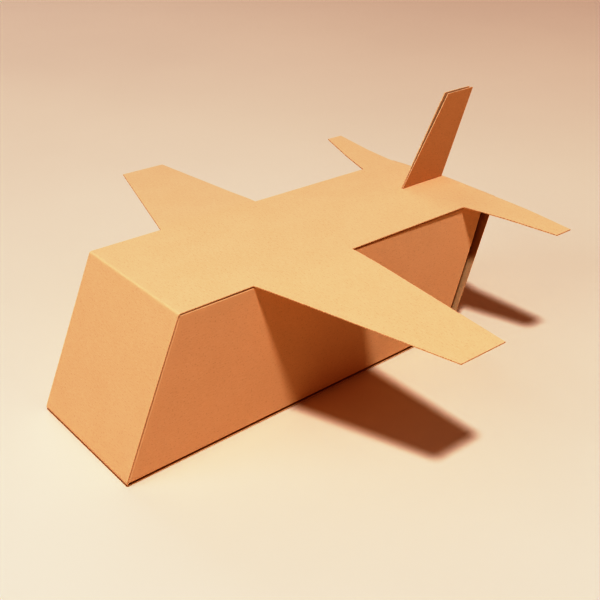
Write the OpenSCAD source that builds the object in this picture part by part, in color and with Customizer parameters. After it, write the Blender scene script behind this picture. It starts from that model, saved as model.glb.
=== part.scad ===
// Folded card gift box whose lid is cut to the outline of an airplane.
// The nose points along -Y, port is +X and +Z is up. The origin is on the floor, under the
// middle of the model. Profile points are [y, z] pairs, with y counted rearward from the fold
// between the front panel and the lid, until whole_box() moves everything onto the origin.

/* [Card] */
// Thickness of the card
card = 0.3; // [0.25:0.05:0.4]
// Radius of the bead that a scored fold leaves
crease_r = 0.25; // [0.2:0.01:0.25]

/* [Box body] */
// Width of the box and of the wrap
box_w = 40; // [38:1:44]
// Height of the fold at the front of the lid
front_h = 39.5; // [38:0.5:42]
// How far the foot of the front panel stands ahead of its top
front_run = 17.9; // [14:0.1:20]
// Distance from the front fold back to the rear end of the side panel's foot
base_rear = 85.9; // [82:0.1:87]
// How far the side panel's front top corner stays under the front fold
side_front_drop = 0.7; // [0.7:0.1:2]
// How far the side panel's rear top corner stays under the rear fold
side_rear_drop = 1.4; // [1.2:0.1:3]
// How far the side panel's rear top corner stands ahead of the rear fold
side_set_back = 3.9; // [3.8:0.1:6]

/* [Lid] */
// Length of the lid from the front fold to the rear fold
lid_len = 103.8; // [103:0.1:105]
// Height of the fold at the rear of the lid
rear_h = 37.2; // [37:0.1:38]
// Distance from the rear of the foot to the fold of the tuck flap
tuck_set_back = 2.9; // [2.8:0.1:4]
// Half of the span between the wing tips
wing_half_span = 69.3; // [60:0.1:75]
// Downward slope of the wings from their roots, in degrees
wing_droop = 5; // [0:0.5:6]
// Half of the span between the tailplane tips
tail_half_span = 45.4; // [40:0.1:50]

/* [Fin] */
// Height of the fin above the lid
fin_h = 24.6; // [18:0.1:28]
// Lean of each ply away from the upright
fin_lean = 1.7; // [1:0.1:2.5]
// Width of the glued tab under the lid
fin_tab_w = 4.5; // [3:0.1:6]

/* [Flaps] */
// Width of the glue flaps behind the front panel and on the bottom panel
glue_flap_w = 7; // [5:0.5:7]
// Width of the loose flaps at the rear
rear_flap_w = 7; // [5:0.5:7]
// Width of the dust flaps under the lid
dust_flap_w = 9; // [6:0.5:10]
// Length of the tuck flap
tuck_len = 8; // [6:0.5:9]
// Width of the tuck flap at its fold
tuck_w = 24; // [18:1:24]
// Upward slope of the tuck flap, in degrees
tuck_slope = 30; // [26:1:34]

/* [Hidden] */
$fn = 48;

half_w = box_w / 2;
half_card = card / 2;
// Room from a fold's axis to the panels that turn about it: the bead, and a hair's breadth
bead_clearance = 0.03;
crease_gap = crease_r + bead_clearance;
// Room between a loose flap and the side panel that it folds from
flap_gap = 0.1;
// Room between two pieces of card that lie on each other
side_gap = 0.02;
// Length by which parts of one piece run into each other
overlap = 0.1;
// Rearmost point of the model, at the tip of the fin, counted from the front fold
model_rear = 113.3;
// Distance from the front fold to the middle of the model's length
middle_y = (model_rear - front_run) / 2;

// Height of the tuck flap's fold over the floor
tuck_fold_h = 0.7;

// Fold lines, on the outer faces of the wrap, as [y, z]
front_foot = [-front_run, 0];
front_fold = [0, front_h];
rear_fold = [lid_len, rear_h];
tuck_fold = [base_rear + tuck_set_back, tuck_fold_h];

function pitch_of(p, q) = atan2(q[1] - p[1], q[0] - p[0]);
function length_of(p, q) = norm(q - p);
// Direction and outward normal of a panel at a pitch, as [y, z]
function along(pitch) = [cos(pitch), sin(pitch)];
function outward(pitch) = [-sin(pitch), cos(pitch)];
// The corner of two panels, at a depth inside their outer faces, which meet at p
function corner_at_depth(p, pitch_a, pitch_b, depth) =
    p - depth * (outward(pitch_a) + outward(pitch_b)) / (1 + outward(pitch_a) * outward(pitch_b));

front_pitch = pitch_of(front_foot, front_fold);
lid_pitch = pitch_of(front_fold, rear_fold);
rear_pitch = pitch_of(rear_fold, tuck_fold);
tuck_pitch = 180 - tuck_slope;
base_pitch = -180;

// The fixed fold's axis is in the middle of the card. The hinges' are on its inner face
base_axis = corner_at_depth(front_foot, base_pitch, front_pitch, half_card);
lid_axis = corner_at_depth(front_fold, front_pitch, lid_pitch, card);
rear_axis = corner_at_depth(rear_fold, lid_pitch, rear_pitch, card);
tuck_axis = corner_at_depth(tuck_fold, rear_pitch, tuck_pitch, card);

// Corners of the side panel, inside the wrap
side_front_h = front_h - side_front_drop;
side_front_foot = [base_axis[0] + (card + half_card + side_gap) / tan(front_pitch)
                   + (half_card + side_gap) / sin(front_pitch), card + side_gap];
side_front_top = side_front_foot
                 + (side_front_h - side_front_foot[1]) * [1 / tan(front_pitch), 1];
side_rear_foot = [base_rear, card + side_gap];
side_rear_top = [lid_len - side_set_back, rear_h - side_rear_drop];
side_top_pitch = pitch_of(side_front_top, side_rear_top);
side_rear_pitch = pitch_of(side_rear_foot, side_rear_top);
side_rear_len = length_of(side_rear_foot, side_rear_top);

// First and last distance along the lid, clear of the beads at both folds
lid_first = (lid_axis - front_fold) * along(lid_pitch) + crease_gap;
lid_last = (rear_axis - front_fold) * along(lid_pitch) - crease_gap;

// Airplane outline of the lid, as [x, distance along the lid] on the port side
wing_root_front = 20.5;
wing_tip_front = 37.7;
wing_tip_rear = 51.5;
wing_root_rear = 50.9;
tail_root_front = 90.8;
tail_tip_front = 98.7;
tail_tip_rear = lid_len + 0.2;
tail_root_rear = lid_len - 1.2;
// Width of the step where the tailplane's rear edge meets the rear fold
tail_root_step = 0.4;
wing_outline = [
    [0, wing_root_front],
    [(wing_half_span - half_w) / cos(wing_droop), wing_tip_front],
    [(wing_half_span - half_w) / cos(wing_droop), wing_tip_rear],
    [0, wing_root_rear]
];
fuselage_port = [
    [half_w, lid_first],
    [half_w, tail_root_front],
    [tail_half_span, tail_tip_front],
    [tail_half_span, tail_tip_rear],
    [half_w + tail_root_step, tail_root_rear],
    [half_w, lid_last]
];

// Side view of the fin, as [distance along the lid, height over it]
fin_foot_front = 87.6;
fin_foot_rear = 102.6;
fin_top_front = 103.2;
fin_top_rear = 112.9;
// The slit is wider and longer than the plies that stand in it
slit_play = 0.1;
fin_slit_w = 2 * (card + slit_play);
// Half of the gap between the two plies at their foot
fin_gap = 0.03;
// Depth of the plies' foot below the top of the lid
fin_root_depth = 2 * card;
fin_outline = [
    [fin_foot_front, 0],
    [fin_foot_rear, 0],
    [fin_top_rear, fin_h],
    [fin_top_front, fin_h]
];
// Distances from the ends of the fin's foot to the ends of its tab
fin_tab_inset_front = 0.3;
fin_tab_inset_rear = 0.8;
fin_tab_taper = 2;

// Ends and tapers of the flaps, measured along the panels that they lie against
front_flap_from = 2.5;
front_flap_to = 39;
front_flap_taper = 5;
base_flap_inset_front = 4;
base_flap_inset_rear = 2;
base_flap_taper = 4;
dust_flap_from = 3;
dust_flap_to = 88;
dust_flap_taper = 5;
rear_flap_inset = 1.5;
rear_flap_taper_top = 5;
rear_flap_taper_foot = 2;
tuck_corner = 3;

card_colour = [0.93, 0.75, 0.51];
fold_colour = [0.96, 0.82, 0.61];

// Puts the model's middle over the origin
module whole_box() {
    translate([0, -middle_y, 0]) children();
}

// Draws once for port (side = 1) or mirrored for starboard (side = -1)
module on_side(side) {
    mirror([side < 0 ? 1 : 0, 0, 0]) children();
}

// A flat piece of card. Its outline is [x, distance along the panel] and its outer face is up
module panel(start, pitch) {
    color(card_colour)
        whole_box()
            translate([0, start[0], start[1]])
                rotate([pitch, 0, 0])
                    translate([0, 0, -card])
                        linear_extrude(height = card) children();
}

// The rounded bead of a scored fold
module crease(axis, width, radius) {
    color(fold_colour)
        whole_box()
            translate([-width / 2, axis[0], axis[1]])
                rotate([0, 90, 0])
                    cylinder(r = radius, h = width);
}

// A flat rectangle across the box, from one distance along a panel to another
module strip(width, from, to) {
    translate([-width / 2, from]) square([width, to - from]);
}

// A flap's outline that narrows by taper at both ends of its free edge
module flap_outline(from, to, width, taper_a, taper_b) {
    polygon([[0, from], [0, to], [width, to - taper_b], [width, from + taper_a]]);
}

// Distance along a panel from its outer corner to where the bead's room ends
function start_after(corner, axis, pitch) = (axis - corner) * along(pitch) + crease_gap;

module front_panel() {
    first = start_after(front_foot, base_axis, front_pitch);
    last = (lid_axis - front_foot) * along(front_pitch) - crease_gap;
    panel(front_foot, front_pitch) strip(box_w, first, last);
}

module bottom_panel() {
    first = base_axis[0] + crease_gap;
    color(card_colour)
        whole_box()
            translate([-half_w, first, 0]) cube([box_w, base_rear - first, card]);
}

// Fuselage and tailplanes in one flat sheet, with the slit for the fin
module fuselage_outline() {
    port = fuselage_port;
    starboard = [for (i = [len(port) - 1 : -1 : 0]) [-port[i][0], port[i][1]]];
    difference() {
        polygon(concat(port, starboard));
        translate([-fin_slit_w / 2, fin_foot_front - slit_play])
            square([fin_slit_w, fin_foot_rear - fin_foot_front + 2 * slit_play]);
    }
}

// One wing, sloping down from the edge of the fuselage
module wing(side) {
    on_side(side)
        translate([half_w, 0, 0])
            rotate([0, wing_droop, 0])
                translate([0, 0, -card])
                    linear_extrude(height = card) polygon(wing_outline);
}

module lid_panel() {
    color(card_colour)
        whole_box()
            translate([0, front_fold[0], front_fold[1]])
                rotate([lid_pitch, 0, 0])
                    union() {
                        translate([0, 0, -card])
                            linear_extrude(height = card) fuselage_outline();
                        wing(1);
                        wing(-1);
                    }
}

module rear_panel() {
    first = start_after(rear_fold, rear_axis, rear_pitch);
    last = (tuck_axis - rear_fold) * along(rear_pitch) - crease_gap;
    panel(rear_fold, rear_pitch) strip(box_w, first, last);
}

module tuck_flap() {
    first = start_after(tuck_fold, tuck_axis, tuck_pitch);
    panel(tuck_fold, tuck_pitch)
        polygon([
            [-tuck_w / 2, first], [tuck_w / 2, first],
            [tuck_w / 2, tuck_len - tuck_corner], [tuck_w / 2 - tuck_corner, tuck_len],
            [tuck_corner - tuck_w / 2, tuck_len], [-tuck_w / 2, tuck_len - tuck_corner]
        ]);
}

// The fold at the foot is pressed flat, so it stays level with the bottom panel
module base_crease() { crease(base_axis, box_w, half_card); }
module lid_crease() { crease(lid_axis, box_w, crease_r); }
module rear_crease() { crease(rear_axis, box_w, crease_r); }
module tuck_crease() { crease(tuck_axis, tuck_w, crease_r); }

// The side wall between the front panel and the closing flap
module side_panel(side) {
    color(card_colour)
        whole_box()
            on_side(side)
                translate([half_w - card, 0, 0])
                    rotate([90, 0, 90])
                        linear_extrude(height = card)
                            polygon([side_front_foot, side_front_top, side_rear_top, side_rear_foot]);
}

// Glue flap behind the front panel, one card further in
module front_flap(side) {
    on_side(side)
        panel(front_foot - (card + side_gap) * outward(front_pitch), front_pitch)
            translate([half_w - card, 0])
                mirror([1, 0])
                    flap_outline(front_flap_from, front_flap_to, glue_flap_w,
                                 front_flap_taper, front_flap_taper);
}

// Glue flap on the bottom panel
module base_flap(side) {
    color(card_colour)
        whole_box()
            on_side(side)
                translate([half_w - card, 0, card + side_gap])
                    mirror([1, 0, 0])
                        linear_extrude(height = card)
                            flap_outline(base_flap_inset_front - front_run,
                                         base_rear - base_flap_inset_rear, glue_flap_w,
                                         base_flap_taper, base_flap_taper);
}

// Dust flap, folded in from the top of the side panel. It ends short of the rear flap's swing
module dust_flap(side) {
    on_side(side)
        panel(side_front_top, side_top_pitch)
            translate([half_w - card - flap_gap, 0])
                mirror([1, 0])
                    flap_outline(dust_flap_from, dust_flap_to, dust_flap_w,
                                 dust_flap_taper, dust_flap_taper);
}

// Loose flap, folded in from the rear edge of the side panel
module rear_flap(side) {
    on_side(side)
        panel(side_rear_top, side_rear_pitch + 180)
            translate([half_w - card - flap_gap, 0])
                mirror([1, 0])
                    flap_outline(rear_flap_inset, side_rear_len - rear_flap_inset,
                                 rear_flap_w, rear_flap_taper_top, rear_flap_taper_foot);
}

// One ply of the fin, leaning outward from its foot in the slit
module fin_ply(side) {
    color(card_colour)
        whole_box()
            on_side(side)
                translate([fin_gap, front_fold[0], front_fold[1]])
                    rotate([lid_pitch, 0, 0])
                        rotate([0, fin_lean, 0])
                            rotate([90, 0, 90])
                                linear_extrude(height = card)
                                    union() {
                                        polygon(fin_outline);
                                        translate([fin_foot_front, -fin_root_depth])
                                            square([fin_foot_rear - fin_foot_front,
                                                    fin_root_depth + overlap]);
                                    }
}

// The ply's tab, glued under the lid
module fin_tab(side) {
    on_side(side)
        panel(front_fold - (card + side_gap) * outward(lid_pitch), lid_pitch)
            translate([card + fin_gap, 0])
                flap_outline(fin_foot_front + fin_tab_inset_front,
                             fin_foot_rear - fin_tab_inset_rear, fin_tab_w,
                             fin_tab_taper, fin_tab_taper);
}

module port_side_panel() { side_panel(1); }
module port_front_flap() { front_flap(1); }
module port_base_flap() { base_flap(1); }
module port_dust_flap() { dust_flap(1); }
module port_rear_flap() { rear_flap(1); }
module starboard_side_panel() { side_panel(-1); }
module starboard_front_flap() { front_flap(-1); }
module starboard_base_flap() { base_flap(-1); }
module starboard_dust_flap() { dust_flap(-1); }
module starboard_rear_flap() { rear_flap(-1); }
module fin_port_ply() { fin_ply(1); }
module fin_port_tab() { fin_tab(1); }
module fin_starboard_ply() { fin_ply(-1); }
module fin_starboard_tab() { fin_tab(-1); }

front_panel();
base_crease();
bottom_panel();
lid_crease();
lid_panel();
rear_crease();
rear_panel();
tuck_crease();
tuck_flap();
port_side_panel();
port_front_flap();
port_base_flap();
port_dust_flap();
port_rear_flap();
starboard_side_panel();
starboard_front_flap();
starboard_base_flap();
starboard_dust_flap();
starboard_rear_flap();
fin_port_ply();
fin_port_tab();
fin_starboard_ply();
fin_starboard_tab();
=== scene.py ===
"""Folded card gift box with an airplane lid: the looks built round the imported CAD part.

Every sheet of card is drawn flat as its developed net, cut into a fine grid, and then mapped to
its folded shape, so that one piece of card runs through its rounded folds as the real one does.
Lengths are in metres in the row frame: +X is port, -Y is the nose and +Z is up.
"""

import math

import bmesh
import bpy
import numpy as np
from mathutils import Matrix, Vector


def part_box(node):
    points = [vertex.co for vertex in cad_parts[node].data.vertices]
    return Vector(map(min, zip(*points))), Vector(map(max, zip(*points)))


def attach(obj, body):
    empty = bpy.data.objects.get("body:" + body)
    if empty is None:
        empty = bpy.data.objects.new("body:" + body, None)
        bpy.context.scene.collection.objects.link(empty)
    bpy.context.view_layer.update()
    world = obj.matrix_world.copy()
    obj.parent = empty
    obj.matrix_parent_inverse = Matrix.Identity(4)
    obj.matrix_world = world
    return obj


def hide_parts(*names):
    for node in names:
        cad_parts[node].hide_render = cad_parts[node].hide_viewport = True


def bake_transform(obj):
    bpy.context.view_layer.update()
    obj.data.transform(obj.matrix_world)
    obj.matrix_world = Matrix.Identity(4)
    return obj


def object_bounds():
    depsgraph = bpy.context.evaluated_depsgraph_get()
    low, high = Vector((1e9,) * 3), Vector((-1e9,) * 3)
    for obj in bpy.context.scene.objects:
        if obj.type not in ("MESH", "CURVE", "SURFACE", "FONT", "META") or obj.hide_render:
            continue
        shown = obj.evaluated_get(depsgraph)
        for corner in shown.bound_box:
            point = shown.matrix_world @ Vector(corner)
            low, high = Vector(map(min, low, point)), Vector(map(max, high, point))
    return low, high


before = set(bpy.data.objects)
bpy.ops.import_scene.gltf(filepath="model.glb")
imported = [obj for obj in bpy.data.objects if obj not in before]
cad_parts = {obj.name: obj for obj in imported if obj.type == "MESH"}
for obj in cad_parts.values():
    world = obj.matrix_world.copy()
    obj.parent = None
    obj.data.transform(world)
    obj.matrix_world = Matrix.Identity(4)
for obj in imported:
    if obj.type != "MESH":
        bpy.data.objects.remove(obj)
cad_low, cad_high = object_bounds()

MM = 0.001

# ---------------------------------------------------------------- sizes taken from the CAD part
_, base_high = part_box("bottom_panel")
CARD = base_high.z
HALF_W = base_high.x
BASE_REAR = base_high.y
SIDE_LOW, SIDE_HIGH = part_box("port_side_panel")

# Fold lines of the wrap on its outer faces, as (y, z)
ROW_SHIFT = -47.7 * MM
FRONT_FOOT = np.array((ROW_SHIFT - 18.2 * MM, 0.0))
FRONT_FOLD = np.array((ROW_SHIFT, 39.5 * MM))
REAR_FOLD = np.array((ROW_SHIFT + 103.8 * MM, 37.2 * MM))
TUCK_FOLD = np.array((BASE_REAR + 2.9 * MM, 0.7 * MM))
TUCK_SLOPE = math.radians(30)
TUCK_LEN = 8 * MM
TUCK_HALF_W = 12 * MM
TUCK_CORNER = 3 * MM

# Corners of the side panel in its own plane, as (y, z)
SIDE_LIFT = 0.55 * MM
GLUE = 0.03 * MM
SIDE_FLOOR = CARD + SIDE_LIFT
FRONT_SLOPE = (FRONT_FOLD - FRONT_FOOT) / np.linalg.norm(FRONT_FOLD - FRONT_FOOT)
SIDE_FRONT_FOOT = np.array(
    (FRONT_FOOT[0] + (SIDE_FLOOR * FRONT_SLOPE[0] + CARD + GLUE) / FRONT_SLOPE[1], SIDE_FLOOR)
)
SIDE_FRONT_TOP_Z = SIDE_HIGH.z
SIDE_REAR_TOP = np.array((SIDE_HIGH.y, 35.8 * MM))
SIDE_REAR_FOOT = np.array((BASE_REAR, SIDE_FLOOR))

EDGE_ROUND = 0.045 * MM

# Outline of the lid, as distances along it from the front fold and half widths
WING_ROOT_FRONT, WING_TIP_FRONT = 20.5 * MM, 37.7 * MM
WING_TIP_REAR, WING_ROOT_REAR = 51.5 * MM, 50.9 * MM
WING_DROOP = math.radians(5)
WING_LEN = (cad_high.x - HALF_W - 1.3 * EDGE_ROUND) / math.cos(WING_DROOP)
TAIL_ROOT_FRONT, TAIL_TIP_FRONT = 90.8 * MM, 98.7 * MM
TAIL_TIP_REAR, TAIL_ROOT_REAR = 104.0 * MM, 102.6 * MM
TAIL_ROOT_STEP = 0.4 * MM
TAIL_LEN = 45.4 * MM - HALF_W

# Fin, as distances along the lid and heights over it
FIN_FOOT_FRONT, FIN_FOOT_REAR = 87.3 * MM, 102.6 * MM
FIN_TOP_FRONT, FIN_TOP_REAR, FIN_H = 102.7 * MM, 112.5 * MM, 24.4 * MM
FIN_SPREAD_FRONT, FIN_SPREAD_REAR = 0.45 * MM, 0.42 * MM
FIN_TAB_W = 4.5 * MM
FIN_GAP = 0.03 * MM
SLIT_HALF_W = CARD + 0.1 * MM

# Radii of the folds at the middle of the card
LID_FOLD_R = 0.62 * MM
REAR_FOLD_R = 0.5 * MM
TUCK_FOLD_R = 0.4 * MM
FOOT_FOLD_R = 0.75 * MM
SIDE_FOLD_R = 0.22 * MM
FIN_FOLD_R = 0.22 * MM

GRID = 3.5 * MM


# ---------------------------------------------------------------- profile of the wrap
def unit(v):
    return v / np.linalg.norm(v)


def outward(direction):
    """Normal on the outer side of a panel that runs along direction, as (y, z)."""
    return np.array((-direction[1], direction[0]))


class Profile:
    """A chain of straight panels with rounded folds, as the middle line of the card.

    s runs along it, and is equal to the distance from the outer corner `origin` on the panel
    that follows that corner.
    """

    def __init__(self, corners, radii, origin):
        corners = [np.array(c, float) for c in corners]
        dirs = [unit(b - a) for a, b in zip(corners[:-1], corners[1:])]
        mid = [corners[0] - outward(dirs[0]) * CARD / 2]
        for c, a, b in zip(corners[1:-1], dirs[:-1], dirs[1:]):
            n = outward(a) + outward(b)
            mid.append(c - n * (CARD / 2) / (1 + outward(a) @ outward(b)))
        mid.append(corners[-1] - outward(dirs[-1]) * CARD / 2)
        self.parts, s = [], 0.0
        start, self.corner_s = mid[0], []
        for i, d in enumerate(dirs):
            end = mid[i + 1]
            last = i == len(dirs) - 1
            cut = 0.0
            if not last:
                turn = math.atan2(d[0] * dirs[i + 1][1] - d[1] * dirs[i + 1][0], d @ dirs[i + 1])
                cut = radii[i] * math.tan(abs(turn) / 2)
            length = np.linalg.norm(end - start) - cut
            self.parts.append(("line", s, s + length, start, d))
            s += length
            self.corner_s.append(s + cut)
            if not last:
                arc = radii[i] * abs(turn)
                self.parts.append(("arc", s, s + arc, start + d * length, d, radii[i], turn))
                s += arc
                start = end + dirs[i + 1] * cut
        line = self.parts[2 * origin]
        shift = (line[3] - corners[origin]) @ line[4] - line[1]
        self.parts = [(p[0], p[1] + shift, p[2] + shift, *p[3:]) for p in self.parts]

    def arc(self, i):
        """First and last s of the fold at corner i, counted from 1."""
        part = self.parts[2 * i - 1]
        return part[1], part[2]

    def panel(self, i):
        part = self.parts[2 * i]
        return part[1], part[2]

    def at(self, s):
        """(y, z) of the card's middle at each s."""
        out = np.zeros((len(s), 2))
        for i, p in enumerate(self.parts):
            low = -np.inf if i == 0 else p[1]
            high = np.inf if i == len(self.parts) - 1 else p[2]
            pick = (s >= low) & (s < high)
            t = (s[pick] - p[1])[:, None]
            if p[0] == "line":
                out[pick] = p[3] + t * p[4]
            else:
                _, _, _, start, d, radius, turn = p
                side = math.copysign(1, turn)
                n = outward(d) * side
                angle = t / radius
                out[pick] = start + radius * np.sin(angle) * d + radius * (1 - np.cos(angle)) * n
        return out

    def straight(self, i, s):
        """(y, z) on panel i, as if it ran on without a fold."""
        _, first, _, start, direction = self.parts[2 * i]
        return start + (s - first)[:, None] * direction

    def point(self, s):
        y, z = self.at(np.array([s]))[0]
        return Vector((0, y, z))


TUCK_DIR = np.array((-math.cos(TUCK_SLOPE), math.sin(TUCK_SLOPE)))
WRAP = Profile(
    [(BASE_REAR, 0), FRONT_FOOT, FRONT_FOLD, REAR_FOLD, TUCK_FOLD, TUCK_FOLD + TUCK_LEN * TUCK_DIR],
    [FOOT_FOLD_R, LID_FOLD_R, REAR_FOLD_R, TUCK_FOLD_R],
    origin=2,
)
LID_PITCH = unit(REAR_FOLD - FRONT_FOLD)


# ---------------------------------------------------------------- how the real sheets are warped
def smooth(t):
    t = np.clip(t, 0, 1)
    return t * t * (3 - 2 * t)


LID_TWIST = 0.425  # rise towards port and the rear, per metre and metre
LID_SAG = -0.030
LID_FALL = -0.0018
LID_CROWN, CROWN_W = 0.60 * MM, 12 * MM
CROWN_FROM, CROWN_RUN = 55 * MM, 40 * MM  # the crown grows over this run, towards the rear
TWIST_HALF_W = HALF_W * 1.6  # the twist stops growing this far out on the wings and tails
TWIST_FADE = 30 * MM  # the closing flap is flat this far below the rear fold
PANEL_WAVE = 0.10 * MM
PORT_TAIL_SLOPE, STARBOARD_TAIL_SLOPE = -0.080, 0.0463
ROOT_BEND = 2.5 * MM


def beyond(distance):
    """Distance past a bend's line, eased in so that the card curves there."""
    d = np.maximum(distance, 0)
    return np.sqrt(d * d + ROOT_BEND**2) - ROOT_BEND


def lid_rise(x, y):
    """How far the lid stands above the flat CAD lid. x is across, y counts from the front fold."""
    y = np.maximum(y, 0)
    inner = np.clip(x, -TWIST_HALF_W, TWIST_HALF_W)
    crown = LID_CROWN * np.exp(-((x / CROWN_W) ** 2)) * smooth((y - CROWN_FROM) / CROWN_RUN)
    return LID_FALL * y + LID_SAG * y * y + LID_TWIST * inner * y + crown


def wrap_surface(u, s):
    """Middle of the card of the wrap, where u is across it and s is along it."""
    near_fold = np.exp(-(((s - WRAP.arc(2)[0]) / (3 * MM)) ** 2))
    wander = 0.06 * MM * (np.sin(u / (3.1 * MM) + 0.4) + 0.7 * np.sin(u / (1.3 * MM) + 2.0))
    yz = WRAP.at(s + wander * near_fold)
    over = np.abs(u) - HALF_W
    wing = (s < (WING_ROOT_REAR + TAIL_ROOT_FRONT) / 2) & (s > 5 * MM)
    tail = s >= (WING_ROOT_REAR + TAIL_ROOT_FRONT) / 2
    # The tails run straight on past the rear fold
    tip = tail & (over > 1e-7)
    yz[tip] = WRAP.straight(2, s[tip])
    x, drop = u.copy(), np.zeros_like(u)
    out = beyond(over)
    slope = np.where(
        wing, -math.tan(WING_DROOP), np.where(u > 0, PORT_TAIL_SLOPE, STARBOARD_TAIL_SLOPE)
    )
    outer = (wing | tail) & (over > 0)
    drop[outer] = (slope * out)[outer]
    x[outer] = (np.sign(u) * (HALF_W + over * np.cos(np.arctan(np.abs(slope)))))[outer]
    along = yz[:, 0] - FRONT_FOLD[0]
    # The twist of the lid dies away down the closing flap, and is absent in front of the fold
    lid_first, lid_last = WRAP.arc(2)[0], WRAP.arc(3)[0]
    down = smooth((s - lid_last) / TWIST_FADE)
    share = np.where(s < lid_first, 0.0, 1.0 - down)
    held = np.minimum(along, REAR_FOLD[0] - FRONT_FOLD[0])
    drop += lid_rise(x, held) * share
    # Slow waves in the front panel and its foot, a fraction of the card's thickness
    foot_s, fold_s = WRAP.panel(1)
    t = np.clip((s - foot_s) / (fold_s - foot_s), 0, 1)
    wave = np.sin(math.pi * t) * (PANEL_WAVE * np.sin(u / (9 * MM) + 1.0) + PANEL_WAVE)
    front = (s > foot_s) & (s < fold_s)
    bulge = np.where(front, wave, 0.0)
    n = outward(FRONT_SLOPE)
    return np.stack((x, yz[:, 0] + bulge * n[0], yz[:, 1] + drop + bulge * n[1]), 1)


# ---------------------------------------------------------------- sheets of card
def normals_of(surface, uv):
    step = 2e-6
    a = (surface(uv[:, 0] + step, uv[:, 1]) - surface(uv[:, 0] - step, uv[:, 1]))
    b = (surface(uv[:, 0], uv[:, 1] + step) - surface(uv[:, 0], uv[:, 1] - step))
    n = np.cross(a, b)
    return n / np.linalg.norm(n, axis=1)[:, None]


def net(polygons, lines, drop=None):
    """Flat polygons that share corners, cut along straight lines. A line is (point, normal)."""
    bm = bmesh.new()
    known = {}
    for polygon in polygons:
        loop = []
        for p in polygon:
            key = (round(p[0] * 1e8), round(p[1] * 1e8))
            if key not in known:
                known[key] = bm.verts.new((p[0], p[1], 0))
            loop.append(known[key])
        bm.faces.new(loop)
    for point, normal in lines:
        bmesh.ops.bisect_plane(
            bm,
            geom=bm.verts[:] + bm.edges[:] + bm.faces[:],
            dist=1e-8,
            plane_co=(point[0], point[1], 0),
            plane_no=(normal[0], normal[1], 0),
        )
    if drop:
        gone = [f for f in bm.faces if drop(f.calc_center_median())]
        bmesh.ops.delete(bm, geom=gone, context="FACES")
    for f in bm.faces:
        if f.normal.z == 0:
            f.normal_update()
        if f.normal.z < 0:
            f.normal_flip()
    return bm


def across(values):
    return [((0, v), (0, 1)) for v in values]


def along(values):
    return [((v, 0), (1, 0)) for v in values]


def spread(a, b, step=GRID):
    """Values from a to b, evenly spaced and no more than step apart."""
    n = max(1, math.ceil(abs(b - a) / step))
    return list(np.linspace(a, b, n + 1))


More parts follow.
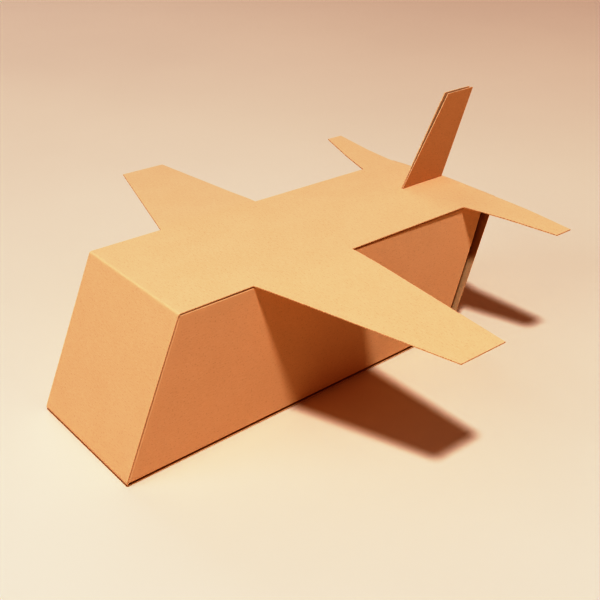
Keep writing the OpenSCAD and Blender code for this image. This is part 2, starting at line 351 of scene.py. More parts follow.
def sheet(name, bm, surface, folds=(), open_edge=None, flip=False, uv_shift=(0, 0), face=None):
    """A solid piece of card from a flat net. The net's face is the outer side, or the inner one
    if flip. folds are functions that give how creased the card is at (u, v). open_edge says
    which border edges butt against the next piece and so have no cut edge."""
    bm.verts.ensure_lookup_table()
    bm.verts.index_update()
    uv = np.array([v.co[:2] for v in bm.verts])
    mid = surface(uv[:, 0], uv[:, 1])
    n = normals_of(surface, uv) * (-1 if flip else 1)
    crease = np.zeros(len(uv))
    for fold in folds:
        crease = np.maximum(crease, fold(uv[:, 0], uv[:, 1]))

    # The direction out of the sheet at each border corner, for the rounded cut edge
    border = [e for e in bm.edges if len(e.link_faces) == 1]
    out_dir = {}
    for e in border:
        f = e.link_faces[0]
        a, b = e.verts
        edge = (mid[b.index] - mid[a.index])
        side = np.cross(edge, n[a.index])
        side /= max(np.linalg.norm(side), 1e-12)
        centre = mid[[v.index for v in f.verts]].mean(0)
        if side @ (centre - (mid[a.index] + mid[b.index]) / 2) > 0:
            side = -side
        for v in (a, b):
            out_dir.setdefault(v.index, []).append(side)
    bulge = {k: unit(sum(v)) * min(1.3, 1 / max(0.3, unit(sum(v)) @ v[0])) for k, v in out_dir.items()}

    half = CARD / 2
    verts, uvs, marks, edge_marks = [], [], [], []

    def add(p, i, edge):
        verts.append(p)
        uvs.append(uv[i])
        marks.append(crease[i])
        edge_marks.append(edge)
        return len(verts) - 1

    top = [add(mid[i] + n[i] * half, i, 1.0 if i in bulge else 0.0) for i in range(len(uv))]
    low = [add(mid[i] - n[i] * half, i, 1.0 if i in bulge else 0.0) for i in range(len(uv))]
    high_rim = {i: add(mid[i] + n[i] * (half - EDGE_ROUND) + m * EDGE_ROUND, i, 1) for i, m in bulge.items()}
    low_rim = {i: add(mid[i] - n[i] * (half - EDGE_ROUND) + m * EDGE_ROUND, i, 1) for i, m in bulge.items()}
    faces, slots = [], []
    for f in bm.faces:
        loop = [v.index for v in f.verts]
        if flip:
            loop = loop[::-1]
        faces.append([top[i] for i in loop])
        slots.append(0)
        faces.append([low[i] for i in reversed(loop)])
        slots.append(1)
    for e in border:
        if open_edge and open_edge(*e.verts[0].co[:2]) and open_edge(*e.verts[1].co[:2]):
            continue
        f = e.link_faces[0]
        loop = [v.index for v in f.verts]
        a, b = e.verts[0].index, e.verts[1].index
        if loop[(loop.index(a) + 1) % len(loop)] != b:
            a, b = b, a
        if flip:
            a, b = b, a
        rings = [top, high_rim, low_rim, low]
        for first, second in zip(rings[:-1], rings[1:]):
            faces.append([first[b], first[a], second[a], second[b]])
            slots.append(2)
    bm.free()

    mesh = bpy.data.meshes.new(name)
    mesh.from_pydata([tuple(p) for p in verts], [], faces)
    mesh.materials.append(face or CARD_OUTER)
    mesh.materials.append(CARD_INNER)
    mesh.materials.append(CARD_EDGE)
    mesh.polygons.foreach_set("material_index", slots)
    layer = mesh.uv_layers.new(name="Sheet")
    corner = np.zeros(len(mesh.loops), np.int32)
    mesh.loops.foreach_get("vertex_index", corner)
    flat = (np.array(uvs)[corner] + np.array(uv_shift)) / MM
    layer.data.foreach_set("uv", flat.astype(np.float32).ravel())
    for label, values in (("crease", marks), ("cut_edge", edge_marks)):
        attribute = mesh.attributes.new(label, "FLOAT", "POINT")
        attribute.data.foreach_set("value", np.array(values, np.float32))
    work = bmesh.new()
    work.from_mesh(mesh)
    bmesh.ops.triangulate(work, faces=[f for f in work.faces if len(f.verts) > 4])
    for f in work.faces:
        f.smooth = True
    work.to_mesh(mesh)
    work.free()
    mesh.set_sharp_from_angle(angle=math.radians(38))
    mesh.update()
    obj = bpy.data.objects.new(name, mesh)
    bpy.context.scene.collection.objects.link(obj)
    return obj


def creased(first, last, coordinate=1, spread_by=0.5 * MM):
    """How creased the card is near a fold that lies between two values of a net coordinate."""
    def value(u, v):
        c = v if coordinate else u
        middle, half = (first + last) / 2, abs(last - first) / 2
        return 1 - smooth((np.abs(c - middle) - half * 0.4) / (half * 0.6 + spread_by))
    return value


def fold_cuts(first, last, steps=8, guard=0.25 * MM):
    return [first - guard, *np.linspace(first, last, steps + 1), last + guard]


# ---------------------------------------------------------------- materials
def card_material(name, colour, fibre_gain=1.0):
    """Uncoated card: cloudy formation, fine grain, sparse pale and dark fibres, paler creases."""
    mat = bpy.data.materials.new(name)
    mat.use_nodes = True
    nt = mat.node_tree
    nt.nodes.clear()
    new, link = nt.nodes.new, nt.links.new

    def math_node(op, a, b=None, clamp=False):
        node = new("ShaderNodeMath")
        node.operation, node.use_clamp = op, clamp
        for socket, value in zip(node.inputs, (a, b)):
            if value is None:
                continue
            if isinstance(value, (int, float)):
                socket.default_value = value
            else:
                link(value, socket)
        return node.outputs[0]

    def noise(vector, scale, detail, rough=0.5):
        node = new("ShaderNodeTexNoise")
        node.noise_dimensions = "2D"
        node.inputs["Scale"].default_value = scale
        node.inputs["Detail"].default_value = detail
        node.inputs["Roughness"].default_value = rough
        link(vector, node.inputs["Vector"])
        return node.outputs["Fac"]

    def turned(angle, sx, sy, shift):
        node = new("ShaderNodeMapping")
        node.inputs["Rotation"].default_value[2] = math.radians(angle)
        node.inputs["Scale"].default_value = (sx, sy, 1)
        node.inputs["Location"].default_value = (shift, shift * 0.7, 0)
        link(uv, node.inputs["Vector"])
        return node.outputs["Vector"]

    def band(value, low, high):
        node = new("ShaderNodeMapRange")
        node.interpolation_type = "SMOOTHSTEP"
        link(value, node.inputs["Value"])
        node.inputs["From Min"].default_value, node.inputs["From Max"].default_value = low, high
        return node.outputs["Result"]

    def mix(fac, a, b):
        node = new("ShaderNodeMix")
        node.data_type = "RGBA"
        for key, value in (("Factor", fac), (6, a), (7, b)):
            socket = node.inputs[key]
            if isinstance(value, tuple):
                socket.default_value = (*value, 1)
            else:
                link(value, socket)
        return node.outputs[2]

    uv_node = new("ShaderNodeUVMap")
    uv_node.uv_map = "Sheet"
    uv = uv_node.outputs["UV"]

    cloud = noise(uv, 0.09, 3)
    grain = noise(uv, 3.2, 4, 0.6)
    # Fibres are noise stretched thin in five directions, of which only the crests are kept
    pale, dark = None, None
    for k, angle in enumerate((12, 47, 83, 121, 158)):
        crest = band(noise(turned(angle, 0.55, 6.5, 13.7 * k), 1.0, 1), 0.66, 0.74)
        if k % 2:
            dark = crest if dark is None else math_node("MAXIMUM", dark, crest)
        else:
            pale = crest if pale is None else math_node("MAXIMUM", pale, crest)
    specks = band(noise(uv, 2.1, 0), 0.755, 0.80)

    crease = new("ShaderNodeAttribute")
    crease.attribute_name = "crease"
    crease = crease.outputs["Fac"]

    deep = tuple(c * k for c, k in zip(colour, (0.996, 0.994, 0.99)))
    light = tuple(min(1, c * k) for c, k in zip(colour, (1.004, 1.006, 1.01)))
    base = mix(band(cloud, 0.32, 0.68), deep, light)
    base = mix(math_node("MULTIPLY", band(grain, 0.55, 0.72), 0.16 * fibre_gain), base,
               tuple(c * k for c, k in zip(colour, (0.90, 0.87, 0.82))))
    base = mix(math_node("MULTIPLY", pale, 0.22 * fibre_gain), base,
               tuple(min(1, c * k) for c, k in zip(colour, (1.10, 1.17, 1.30))))
    base = mix(math_node("MULTIPLY", dark, 0.20 * fibre_gain), base,
               tuple(c * k for c, k in zip(colour, (0.84, 0.76, 0.66))))
    base = mix(math_node("MULTIPLY", specks, 0.15 * fibre_gain), base,
               tuple(c * k for c, k in zip(colour, (0.66, 0.55, 0.45))))
    worn = math_node("MULTIPLY", crease, math_node("ADD", 0.25, math_node("MULTIPLY", grain, 0.5)))
    base = mix(worn, base, tuple(min(1, c * k) for c, k in zip(colour, (1.005, 1.01, 1.015))))

    height = math_node("MULTIPLY", grain, 0.6)
    height = math_node("ADD", height, math_node("MULTIPLY", pale, 0.35))
    height = math_node("ADD", height, math_node("MULTIPLY", cloud, 0.5))
    height = math_node("ADD", height, math_node("MULTIPLY", math_node("MULTIPLY", crease, grain), 1.2))
    bump = new("ShaderNodeBump")
    bump.inputs["Strength"].default_value = 0.35
    bump.inputs["Distance"].default_value = 0.035 * MM
    link(height, bump.inputs["Height"])

    rough = new("ShaderNodeMapRange")
    link(grain, rough.inputs["Value"])
    rough.inputs["To Min"].default_value, rough.inputs["To Max"].default_value = 0.72, 0.9

    shader = new("ShaderNodeBsdfPrincipled")
    link(base, shader.inputs["Base Color"])
    link(rough.outputs["Result"], shader.inputs["Roughness"])
    link(bump.outputs["Normal"], shader.inputs["Normal"])
    shader.inputs["Specular IOR Level"].default_value = 0.28
    shader.inputs["Sheen Weight"].default_value = 0.06
    shader.inputs["Sheen Roughness"].default_value = 0.5
    out = new("ShaderNodeOutputMaterial")
    link(shader.outputs["BSDF"], out.inputs["Surface"])
    return mat


def edge_material(name, colour):
    """The cut edge of the card: torn fibre ends in fine layers, a little paler than the face."""
    mat = bpy.data.materials.new(name)
    mat.use_nodes = True
    nt = mat.node_tree
    nt.nodes.clear()
    new, link = nt.nodes.new, nt.links.new
    uv = new("ShaderNodeUVMap")
    uv.uv_map = "Sheet"
    noise = new("ShaderNodeTexNoise")
    noise.inputs["Scale"].default_value = 2.4
    noise.inputs["Detail"].default_value = 4
    link(uv.outputs["UV"], noise.inputs["Vector"])
    ramp = new("ShaderNodeValToRGB")
    ramp.color_ramp.elements[0].position = 0.3
    ramp.color_ramp.elements[0].color = (*[c * k for c, k in zip(colour, (0.86, 0.80, 0.72))], 1)
    ramp.color_ramp.elements[1].position = 0.7
    ramp.color_ramp.elements[1].color = (*[min(1, c * k) for c, k in zip(colour, (1.06, 1.10, 1.18))], 1)
    link(noise.outputs["Fac"], ramp.inputs["Fac"])
    bump = new("ShaderNodeBump")
    bump.inputs["Strength"].default_value = 0.5
    bump.inputs["Distance"].default_value = 0.04 * MM
    link(noise.outputs["Fac"], bump.inputs["Height"])
    shader = new("ShaderNodeBsdfPrincipled")
    link(ramp.outputs["Color"], shader.inputs["Base Color"])
    link(bump.outputs["Normal"], shader.inputs["Normal"])
    shader.inputs["Roughness"].default_value = 0.92
    shader.inputs["Specular IOR Level"].default_value = 0.2
    out = new("ShaderNodeOutputMaterial")
    link(shader.outputs["BSDF"], out.inputs["Surface"])
    return mat


CARD_COLOUR = (0.845, 0.57, 0.325)
FIN_PAINTED_SHADE = (0.88, 0.76, 0.65)  # painted shade: the fin's card is darkened to stand in for the weaker bounced light the fin gets
CARD_OUTER = card_material("card_outer", CARD_COLOUR)
CARD_INNER = card_material("card_inner", tuple(c * 0.98 for c in CARD_COLOUR), 0.8)
# The fin's outer face is the card colour darkened by painted shade
CARD_FIN_PAINTED_SHADE = card_material("card_fin_painted_shade", tuple(c * k for c, k in zip(CARD_COLOUR, FIN_PAINTED_SHADE)))
CARD_EDGE = edge_material("card_cut_edge", CARD_COLOUR)


# ---------------------------------------------------------------- the wrap
FOOT_ARC, LID_ARC, REAR_ARC, TUCK_ARC = (WRAP.arc(i) for i in (1, 2, 3, 4))
WRAP_FIRST = WRAP.panel(0)[0]
WRAP_LAST = WRAP.panel(4)[1]
BUTT = 1.0 * MM
FRONT_BUTT = LID_ARC[0] - BUTT
LID_BUTT = REAR_ARC[0] - 0.3 * MM
TUCK_BUTT = TUCK_ARC[0] - BUTT
BUTT_SAMPLES = 41


def near(value, target):
    return abs(value - target) < 1e-6


def strip(first, last, half=HALF_W):
    return [(-half, first), (half, first), (half, last), (-half, last)]


def past_butt(start, end, edge):
    """Start and end points of a fold, moved along it so that a whole butted edge lies before them.

    The twist and the lean move parts of that edge, so the points move past the furthest of them.
    """
    run = (end - start).normalized()
    furthest = max((Vector(p) - start).dot(run) for p in edge)
    shift = run * max(furthest + CARD / 2, 0)
    return start + shift, end + shift


fold_marks = [creased(*LID_ARC), creased(*FOOT_ARC), creased(*REAR_ARC), creased(*TUCK_ARC)]

BOTTOM_HALF_W = HALF_W - 0.2 * MM
wrap_net = net(
    [[
        (-BOTTOM_HALF_W, WRAP_FIRST), (BOTTOM_HALF_W, WRAP_FIRST), (BOTTOM_HALF_W, FOOT_ARC[0]),
        (HALF_W, FOOT_ARC[1] + 0.3 * MM), (HALF_W, FRONT_BUTT), (-HALF_W, FRONT_BUTT),
        (-HALF_W, FOOT_ARC[1] + 0.3 * MM), (-BOTTOM_HALF_W, FOOT_ARC[0]),
    ]],
    across(spread(WRAP_FIRST, FOOT_ARC[0]) + fold_cuts(*FOOT_ARC) + spread(FOOT_ARC[1], FRONT_BUTT))
    + along(spread(-HALF_W, HALF_W)),
)
box_wrap = sheet("box_wrap", wrap_net, wrap_surface, fold_marks, open_edge=lambda u, v: near(v, FRONT_BUTT))
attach(box_wrap, "box")
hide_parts("bottom_panel", "base_crease", "front_panel")

wing_u, tail_u = HALF_W + WING_LEN, HALF_W + TAIL_LEN


def both(points):
    """A polygon for port, and the same for starboard."""
    return [points, [(-u, v) for u, v in reversed(points)]]


fuselage = [
    (-HALF_W, FRONT_BUTT), (HALF_W, FRONT_BUTT),
    (HALF_W, WING_ROOT_FRONT), (HALF_W, WING_ROOT_REAR), (HALF_W, TAIL_ROOT_FRONT),
    (HALF_W, TAIL_ROOT_REAR), (HALF_W, LID_BUTT), (-HALF_W, LID_BUTT),
    (-HALF_W, TAIL_ROOT_REAR), (-HALF_W, TAIL_ROOT_FRONT),
    (-HALF_W, WING_ROOT_REAR), (-HALF_W, WING_ROOT_FRONT),
]
wings = both([
    (HALF_W, WING_ROOT_FRONT), (wing_u, WING_TIP_FRONT), (wing_u, WING_TIP_REAR), (HALF_W, WING_ROOT_REAR),
])
tails = both([
    (HALF_W, TAIL_ROOT_FRONT), (tail_u, TAIL_TIP_FRONT), (tail_u, TAIL_TIP_REAR),
    (HALF_W + TAIL_ROOT_STEP, TAIL_ROOT_REAR), (HALF_W, TAIL_ROOT_REAR),
])
slit_front, slit_rear = FIN_FOOT_FRONT - 0.1 * MM, FIN_FOOT_REAR + 0.1 * MM
lid_net = net(
    [fuselage, *wings, *tails],
    across(fold_cuts(*LID_ARC) + spread(LID_ARC[1], LID_BUTT) + [slit_front, slit_rear])
    + along(
        [v for v in spread(-wing_u, wing_u) if abs(v) > SLIT_HALF_W] + [-SLIT_HALF_W, SLIT_HALF_W]
        + [HALF_W + d for d in (0.8 * MM, 1.6 * MM)] + [-HALF_W - d for d in (0.8 * MM, 1.6 * MM)]
    ),
    drop=lambda c: abs(c.x) < SLIT_HALF_W and slit_front < c.y < slit_rear,
)
airplane_lid = sheet(
    "airplane_lid", lid_net, wrap_surface, fold_marks,
    open_edge=lambda u, v: near(v, FRONT_BUTT) or (near(v, LID_BUTT) and abs(u) < HALF_W + 1e-6),
)
WRAP.point(LID_ARC[0])
WRAP.point(LID_ARC[1])
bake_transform(airplane_lid)
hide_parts("lid_crease", "lid_panel")

closing_net = net(
    [strip(LID_BUTT, TUCK_BUTT)],
    across(fold_cuts(*REAR_ARC) + spread(REAR_ARC[1], TUCK_BUTT)) + along(spread(-HALF_W, HALF_W)),
)
closing_flap = sheet(
    "closing_flap", closing_net, wrap_surface, fold_marks,
    open_edge=lambda u, v: near(v, LID_BUTT) or (near(v, TUCK_BUTT) and abs(u) < TUCK_HALF_W + 1e-6),
)
butt_u = np.linspace(-HALF_W, HALF_W, BUTT_SAMPLES)
rear_start, rear_end = past_butt(
    WRAP.point(REAR_ARC[0]), WRAP.point(REAR_ARC[1]),
    wrap_surface(butt_u, np.full_like(butt_u, LID_BUTT)),
)
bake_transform(closing_flap)
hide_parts("rear_crease", "rear_panel")

tuck_net = net(
    [[
        (-TUCK_HALF_W, TUCK_BUTT), (TUCK_HALF_W, TUCK_BUTT),
        (TUCK_HALF_W, WRAP_LAST - TUCK_CORNER), (TUCK_HALF_W - TUCK_CORNER, WRAP_LAST),
        (TUCK_CORNER - TUCK_HALF_W, WRAP_LAST), (-TUCK_HALF_W, WRAP_LAST - TUCK_CORNER),
    ]],
    across(fold_cuts(*TUCK_ARC) + spread(TUCK_ARC[1], WRAP_LAST)) + along(spread(-TUCK_HALF_W, TUCK_HALF_W)),
)
tuck_card = sheet(
    "tuck_flap_card", tuck_net, wrap_surface, fold_marks, open_edge=lambda u, v: near(v, TUCK_BUTT)
)
WRAP.point(TUCK_ARC[0])
WRAP.point(TUCK_ARC[1])
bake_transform(tuck_card)
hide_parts("tuck_crease", "tuck_flap")


# ---------------------------------------------------------------- the side pieces
FLAP_W = 7 * MM
DUST_W = 9 * MM
SIDE_ARC = SIDE_FOLD_R * math.pi / 2
# On the middle of the card a fold starts this far inside the line that it reaches
SIDE_SETBACK = SIDE_FOLD_R + CARD / 2

END = 0.3 * MM  # how far a flap's fold stops short of the panel's corners
SLIT = 0.03 * MM
LEAN_FROM, LEAN_RUN = -12 * MM, 64 * MM
LEAN_GROWTH, LEAN_RISE = 1.2, 2.5  # powers of how the lean grows to the rear and with height
PROUD_RUN, PROUD_FADE = 34 * MM, 18 * MM
FRONT_FLAP_FROM, FRONT_FLAP_TO = 7.5 * MM, 34 * MM
FOOT_FLAP_FROM, FOOT_FLAP_END = 6 * MM, 8 * MM
DUST_FLAP_FROM, DUST_FLAP_TO = 8 * MM, 83 * MM
REAR_FLAP_FROM, REAR_FLAP_END = 6.5 * MM, 3.5 * MM


class Fold:
    """A right-angle fold inward along one straight edge of the side panel, as (y, z) pairs."""

    def __init__(self, start, end):
        self.dir = unit(end - start)
        self.out = np.array((-self.dir[1], self.dir[0]))
        self.start = start
        self.length = np.linalg.norm(end - start)
        self.first, self.last = END, self.length - END

    def net_point(self, t, q):
        """The net's point at t along the edge and q past where the fold starts."""
        return tuple(self.start + self.dir * t + self.out * (q - SIDE_SETBACK))

    def past(self, u, v):
        """How far points of the net are past the start of the fold."""
        return (u - self.start[0]) * self.out[0] + (v - self.start[1]) * self.out[1] + SIDE_SETBACK

    def on_flap(self, u, v):
        """Whether points of the net are beyond the start of the fold and between its ends."""
        t = (u - self.start[0]) * self.dir[0] + (v - self.start[1]) * self.dir[1]
        return (self.past(u, v) > 0) & (t > self.first - SLIT / 2) & (t < self.last + SLIT / 2)

    def bend(self, u, v, y, z, x):
        q = self.past(u, v)
        on = self.on_flap(u, v)
        angle = np.clip(q / SIDE_FOLD_R, 0, math.pi / 2)
        ahead = SIDE_FOLD_R * np.sin(angle)
        inward = SIDE_FOLD_R * (1 - np.cos(angle)) + np.maximum(q - SIDE_ARC, 0)
        back = np.where(on, ahead - q, 0.0)
        return y + back * self.out[0], z + back * self.out[1], x - np.where(on, inward, 0.0)

    def lines(self):
        """Cuts along the fold."""
        cuts = [-0.25 * MM, *np.linspace(0, SIDE_ARC, 7), SIDE_ARC + 0.25 * MM]
        return [(self.net_point(0, q), tuple(self.out)) for q in cuts]

    def crease(self, u, v):
        q = self.past(u, v)
        return 1 - smooth((np.abs(q - SIDE_ARC / 2) - 0.15 * MM) / (0.6 * MM))

    def edge(self):
        """The panel's outline along this fold: full at the ends, cut back where the fold starts."""
        reach = SIDE_SETBACK - 0.02 * MM
        first, last = self.first, self.last
        return [
            self.net_point(first - SLIT, reach), self.net_point(first - SLIT, 0),
            self.net_point(first, 0), self.net_point(last, 0),
            self.net_point(last + SLIT, 0), self.net_point(last + SLIT, reach),
        ]

    def meet(self, other):
        """The panel's corner between two folds."""
        reach = SIDE_SETBACK - 0.02 * MM
        a, b = np.array(self.net_point(0, reach)), np.array(other.net_point(0, reach))
        t = np.linalg.solve(np.stack((self.dir, -other.dir), 1), b - a)[0]
        return tuple(a + self.dir * t)

    def butts(self, u, v):
        """Whether a point of the net is where a loose flap meets the panel."""
        t = (u - self.start[0]) * self.dir[0] + (v - self.start[1]) * self.dir[1]
        return abs(self.past(u, v)) < 1e-6 and self.first - 1e-6 < t < self.last + 1e-6

    def flap(self, width, full_from, full_to):
        """Net of the flap, which has its full width, counted from the fold line, between two t."""
        out = width - SIDE_FOLD_R - CARD / 2 + SIDE_ARC
        return [
            self.net_point(self.first, 0), self.net_point(full_from, out),
            self.net_point(full_to, out), self.net_point(self.last, 0),
        ]


class Side:
    """One side piece. The twist of the lid lets the port one stand and lean inward at the rear.

    flare is how far it stands out at its foot, and proud how far its front stands out above
    proud_above, which may lie under the floor.
    """

    def __init__(self, sign, front_rise, rear_rise, rear_reach, lean, flare, proud, proud_above):
        self.sign, self.lean, self.flare = sign, lean, flare
        self.proud, self.proud_above = proud, proud_above
        run = (SIDE_FRONT_TOP_Z + front_rise - SIDE_FLOOR) / FRONT_SLOPE[1]
        front_top = SIDE_FRONT_FOOT + FRONT_SLOPE * run
        rear_top = SIDE_REAR_TOP + np.array((rear_reach, rear_rise))
        # Each fold runs so that its left side is out of the panel, seen from port
        self.front = Fold(SIDE_FRONT_FOOT, front_top)
        self.top = Fold(front_top, rear_top)
        self.rear = Fold(rear_top, SIDE_REAR_FOOT)
        self.foot = Fold(SIDE_REAR_FOOT, SIDE_FRONT_FOOT)
        self.folds = (self.front, self.top, self.rear, self.foot)

    def surface(self, u, v):
        y, z, x = u.copy(), v.copy(), np.full_like(u, HALF_W - CARD / 2)
        for fold in self.folds:
            y, z, x = fold.bend(u, v, y, z, x)
        height = np.clip(v / SIDE_FRONT_TOP_Z, 0, 1.1)
        rearward = np.clip((u - LEAN_FROM) / LEAN_RUN, 0, 1.1)
        x = x - self.lean * rearward**LEAN_GROWTH * height**LEAN_RISE
        x = x + self.flare * (1 - np.minimum(height, 1)) ** 2
        ahead = 1 - smooth(-self.front.past(u, v) / PROUD_RUN)
        x = x + self.proud * smooth((v - self.proud_above) / PROUD_FADE) * ahead
        return np.stack((self.sign * x, y, z), 1)

    def net(self):
        """The panel with its front and base flaps, all in the panel's own plane."""
        ring = []
        for i, fold in enumerate(self.folds):
            ring += [fold.meet(self.folds[i - 1]), *fold.edge()]
        return [
            ring,
            self.front.flap(FLAP_W, FRONT_FLAP_FROM, FRONT_FLAP_TO),
            self.foot.flap(FLAP_W, FOOT_FLAP_FROM, self.foot.length - FOOT_FLAP_END),
        ]


def side_lines():
    lines = []
    for y in spread(SIDE_LOW.y - FLAP_W, SIDE_HIGH.y):
        lines.append(((y, 0), (1, 0)))
    for z in spread(-FLAP_W, SIDE_HIGH.z):
        lines.append(((0, z), (0, 1)))
    return lines


PORT = Side(
    sign=1, front_rise=0.3 * MM, rear_rise=1.1 * MM, rear_reach=0.55 * MM, lean=0.95 * MM,
    flare=0.05 * MM, proud=0.1 * MM, proud_above=-18 * MM,
)
STARBOARD = Side(
    sign=-1, front_rise=0.0, rear_rise=-0.6 * MM, rear_reach=0.0, lean=0.2 * MM,
    flare=0.0, proud=0.5 * MM, proud_above=18 * MM,
)

for side, word in ((PORT, "port"), (STARBOARD, "starboard")):
    marks = [f.crease for f in side.folds]
    shift = (0.2 * side.sign, 0.1)
    card = sheet(
        f"{word}_side_card",
        net(side.net(), side_lines() + side.front.lines() + side.foot.lines()),
        side.surface, marks, flip=side.sign < 0, uv_shift=shift,
        open_edge=lambda u, v, s=side: s.top.butts(u, v) or s.rear.butts(u, v),
    )
    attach(card, "box")
    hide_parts(f"{word}_side_panel", f"{word}_front_flap", f"{word}_base_flap")

    for label, fold, width, full_from, full_to in (
        ("dust", side.top, DUST_W, DUST_FLAP_FROM, DUST_FLAP_TO),
        ("rear", side.rear, FLAP_W, REAR_FLAP_FROM, side.rear.length - REAR_FLAP_END),
    ):
        loose = sheet(
            f"{word}_{label}_card",
            net([fold.flap(width, full_from, full_to)], side_lines() + fold.lines()),
            side.surface, marks, flip=side.sign < 0, uv_shift=shift, open_edge=fold.butts,
        )
        # Where the fold starts and ends, moved past the butted edge
        middle = np.array([fold.net_point(fold.length / 2, 0), fold.net_point(fold.length / 2, SIDE_ARC)])
        first, last = side.surface(middle[:, 0], middle[:, 1])
        butt = np.array([fold.net_point(t, 0) for t in np.linspace(fold.first, fold.last, BUTT_SAMPLES)])
        start, end = past_butt(Vector(first), Vector(last), side.surface(butt[:, 0], butt[:, 1]))
        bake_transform(loose)
        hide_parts(f"{word}_{label}_flap")

# ---------------------------------------------------------------- the fin
lid_normal = outward(LID_PITCH)
# The tab's fold starts under the lid's card, with a little glue between them
FIN_FOLD_TOP = -(CARD * 1.5 + 0.02 * MM) + FIN_FOLD_R
FIN_TAB_FRONT_CUT, FIN_TAB_REAR_CUT = 2.3 * MM, 2.8 * MM


def fin_surface(side):
    """u is along the lid and v is the height over it. Below the slit the card folds outward."""
    def surface(u, v):
        turn = math.pi / 2
        q = np.maximum(FIN_FOLD_TOP - v, 0)
        angle = np.clip(q / FIN_FOLD_R, 0, turn)
        rest = np.maximum(q - FIN_FOLD_R * turn, 0)
        height = np.where(q > 0, FIN_FOLD_TOP - FIN_FOLD_R * np.sin(angle), v)
        out = FIN_FOLD_R * (1 - np.cos(angle)) + rest
        up = np.maximum(height, 0) / FIN_H
        front = FIN_FOOT_FRONT + (FIN_TOP_FRONT - FIN_FOOT_FRONT) * up
        chord = FIN_FOOT_REAR + (FIN_TOP_REAR - FIN_FOOT_REAR) * up - front
        back = np.clip((u - front) / chord, 0, 1)
        apart = up * (FIN_SPREAD_FRONT * (1 - back) + FIN_SPREAD_REAR * back)
        x = side * (FIN_GAP + CARD / 2 + out + apart)
        yz = FRONT_FOLD + u[:, None] * LID_PITCH + height[:, None] * lid_normal
        rise = lid_rise(np.zeros_like(u), np.minimum(u, FIN_FOOT_REAR))
        return np.stack((x, yz[:, 0], yz[:, 1] + rise), 1)
    return surface


tab_depth = FIN_FOLD_TOP - FIN_FOLD_R * math.pi / 2 - (FIN_TAB_W - FIN_FOLD_R)
fin_root = -CARD
fin_net_points = [
    [(FIN_FOOT_FRONT, 0), (FIN_FOOT_REAR, 0), (FIN_TOP_REAR, FIN_H), (FIN_TOP_FRONT, FIN_H)],
    [
        (FIN_FOOT_FRONT + FIN_TAB_FRONT_CUT, tab_depth), (FIN_FOOT_REAR - FIN_TAB_REAR_CUT, tab_depth),
        (FIN_FOOT_REAR, fin_root), (FIN_FOOT_REAR, 0), (FIN_FOOT_FRONT, 0), (FIN_FOOT_FRONT, fin_root),
    ],
]
for side, word in ((1, "port"), (-1, "starboard")):
    ply = sheet(
        f"fin_{word}_card",
        net(
            fin_net_points,
            across(spread(0, FIN_H) + spread(tab_depth, FIN_FOLD_TOP, 1.5 * MM)
                   + fold_cuts(FIN_FOLD_TOP - FIN_FOLD_R * math.pi / 2, FIN_FOLD_TOP, 6, 0.1 * MM))
            + along(spread(FIN_FOOT_FRONT, FIN_TOP_REAR)),
        ),
        fin_surface(side), flip=side < 0, uv_shift=(0.3 * side, 0.4), face=CARD_FIN_PAINTED_SHADE,
    )
    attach(ply, "lid")
    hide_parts(f"fin_{word}_ply", f"fin_{word}_tab")


# ---------------------------------------------------------------- floor, lamp and camera
def floor_material():
    mat = bpy.data.materials.new("pale_floor")
    mat.use_nodes = True
    nt = mat.node_tree
    shader = nt.nodes["Principled BSDF"]
    where = nt.nodes.new("ShaderNodeTexCoord")
    noise = nt.nodes.new("ShaderNodeTexNoise")
    noise.inputs["Scale"].default_value = 9
    noise.inputs["Detail"].default_value = 5
    nt.links.new(where.outputs["Object"], noise.inputs["Vector"])
    ramp = nt.nodes.new("ShaderNodeValToRGB")
    ramp.color_ramp.elements[0].position, ramp.color_ramp.elements[1].position = 0.35, 0.65
    ramp.color_ramp.elements[0].color = (*[c * 0.985 for c in FLOOR_COLOUR], 1)
    ramp.color_ramp.elements[1].color = (*FLOOR_COLOUR, 1)
    nt.links.new(noise.outputs["Fac"], ramp.inputs["Fac"])
    nt.links.new(ramp.outputs["Color"], shader.inputs["Base Color"])
    shader.inputs["Roughness"].default_value = 0.85
    shader.inputs["Specular IOR Level"].default_value = 0.2
    return mat


FLOOR_COLOUR = (0.855, 0.67, 0.48)
FLOOR_RADIUS = 0.65
FLOOR_SIDES = 128
FLOOR_DROP = 0.02 * MM
floor_mesh = bpy.data.meshes.new("floor")
rim = [2 * math.pi * i / FLOOR_SIDES for i in range(FLOOR_SIDES)]
floor_mesh.from_pydata(
    [(FLOOR_RADIUS * math.cos(a), FLOOR_RADIUS * math.sin(a), 0) for a in rim], [],
    [tuple(range(FLOOR_SIDES))],
)
floor_mesh.materials.append(floor_material())
floor = bpy.data.objects.new("floor", floor_mesh)
floor.location.z = -FLOOR_DROP
bpy.context.scene.collection.objects.link(floor)

KEY_DIRECTION = Vector((0.346, -0.168, 0.923)).normalized()
KEY_DISTANCE = 1.2
KEY_RADIUS = 0.07
KEY_POWER = 11.3
LAMP_COLOUR = (0.49, 0.735, 1.0)
AMBIENT = (0.31, 0.20, 0.165)

FILL_DIRECTION = Vector((-0.30, -0.88, 0.36)).normalized()
FILL_DISTANCE = 1.0
FILL_RADIUS = 0.35
FILL_POWER = 2.3
BACK_DIRECTION = Vector((-0.90, 0.25, 0.30)).normalized()
BACK_DISTANCE = 1.1
BACK_RADIUS = 0.35
BACK_POWER = 1.85
AIM = Vector((0, 0, 0.02))


def lamp(name, direction, distance, radius, power, colour):
    """A round soft lamp that faces the box."""
    data = bpy.data.lights.new(name, "AREA")
    data.shape = "DISK"
    data.size = 2 * radius
    data.energy = power
    data.color = colour
    obj = bpy.data.objects.new(name, data)
    obj.location = AIM + direction * distance
    obj.rotation_mode = "QUATERNION"
    obj.rotation_quaternion = direction.to_track_quat("Z", "Y")
    bpy.context.scene.collection.objects.link(obj)


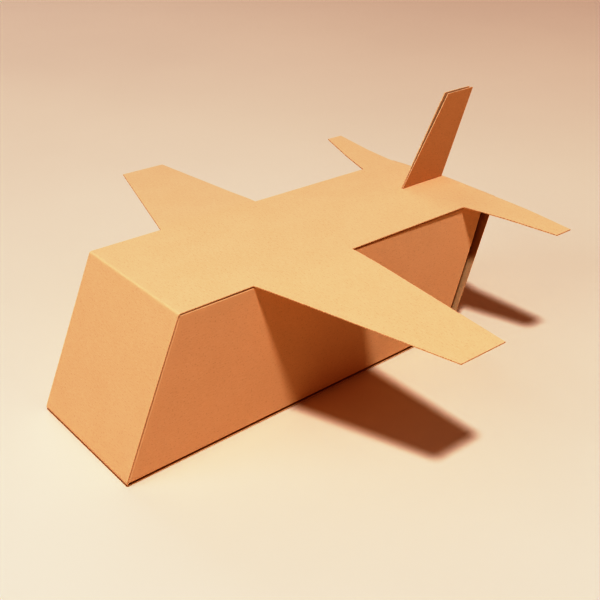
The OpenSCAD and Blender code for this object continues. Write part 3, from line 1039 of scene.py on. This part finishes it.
lamp("key_lamp", KEY_DIRECTION, KEY_DISTANCE, KEY_RADIUS, KEY_POWER, LAMP_COLOUR)
lamp("fill_lamp", FILL_DIRECTION, FILL_DISTANCE, FILL_RADIUS, FILL_POWER, LAMP_COLOUR)
lamp("back_lamp", BACK_DIRECTION, BACK_DISTANCE, BACK_RADIUS, BACK_POWER, LAMP_COLOUR)

world = bpy.data.worlds.new("soft_room")
world.use_nodes = True
BACKDROP = (0.60, 0.45, 0.36)
room = world.node_tree
dim = room.nodes["Background"]
dim.inputs["Color"].default_value = (*AMBIENT, 1)
pale = room.nodes.new("ShaderNodeBackground")
pale.inputs["Color"].default_value = (*BACKDROP, 1)
seen = room.nodes.new("ShaderNodeLightPath")
choose = room.nodes.new("ShaderNodeMixShader")
room.links.new(seen.outputs["Is Camera Ray"], choose.inputs[0])
room.links.new(dim.outputs[0], choose.inputs[1])
room.links.new(pale.outputs[0], choose.inputs[2])
room.links.new(choose.outputs[0], room.nodes["World Output"].inputs["Surface"])
bpy.context.scene.world = world

CAMERA_AZIMUTH, CAMERA_ELEVATION, CAMERA_ROLL = (math.radians(a) for a in (-38.39, 29.83, -1.2))
CAMERA_AIM = Vector((19.6, -13.3, 30)) * MM
CAMERA_DISTANCE = 246.7 * MM
SENSOR_WIDTH, LENS = 36, 60.95
camera_data = bpy.data.cameras.new("camera")
camera_data.sensor_width = SENSOR_WIDTH
camera_data.lens = LENS
camera_data.clip_start, camera_data.clip_end = 0.01, 20
camera = bpy.data.objects.new("camera", camera_data)
# A camera looks along its own -Z with +Y up, so it is tipped up, rolled and turned to its azimuth
camera.matrix_world = (
    Matrix.Translation(CAMERA_AIM)
    @ Matrix.Rotation(CAMERA_AZIMUTH + math.pi / 2, 4, "Z")
    @ Matrix.Rotation(math.pi / 2 - CAMERA_ELEVATION, 4, "X")
    @ Matrix.Rotation(CAMERA_ROLL, 4, "Z")
    @ Matrix.Translation((0, 0, CAMERA_DISTANCE))
)
bpy.context.scene.collection.objects.link(camera)
bpy.context.scene.camera = camera

# A photograph's tone curve: dark and light tones each rise as a power of the scene's light
DARK_MIDDLE, DARK_POWER = 0.576, 2.52
LIGHT_MIDDLE, LIGHT_POWER = 0.503, 9.0
TONE_STEPS = 20


def tone(light):
    rise = (light / DARK_MIDDLE) ** DARK_POWER + (light / LIGHT_MIDDLE) ** LIGHT_POWER
    return rise / (1 + rise)


view = bpy.context.scene.view_settings
view.view_transform = "Standard"
view.look = "None"
view.use_curve_mapping = True
mapping = view.curve_mapping
curve = mapping.curves[3]
mapping.clip_max_x = mapping.clip_max_y = 1.0
curve.points[0].location = (0, 0)
curve.points[1].location = (1, tone(1))
for step in range(1, TONE_STEPS):
    curve.points.new(step / TONE_STEPS, tone(step / TONE_STEPS))
for point in curve.points:
    point.handle_type = "AUTO_CLAMPED"
mapping.update()
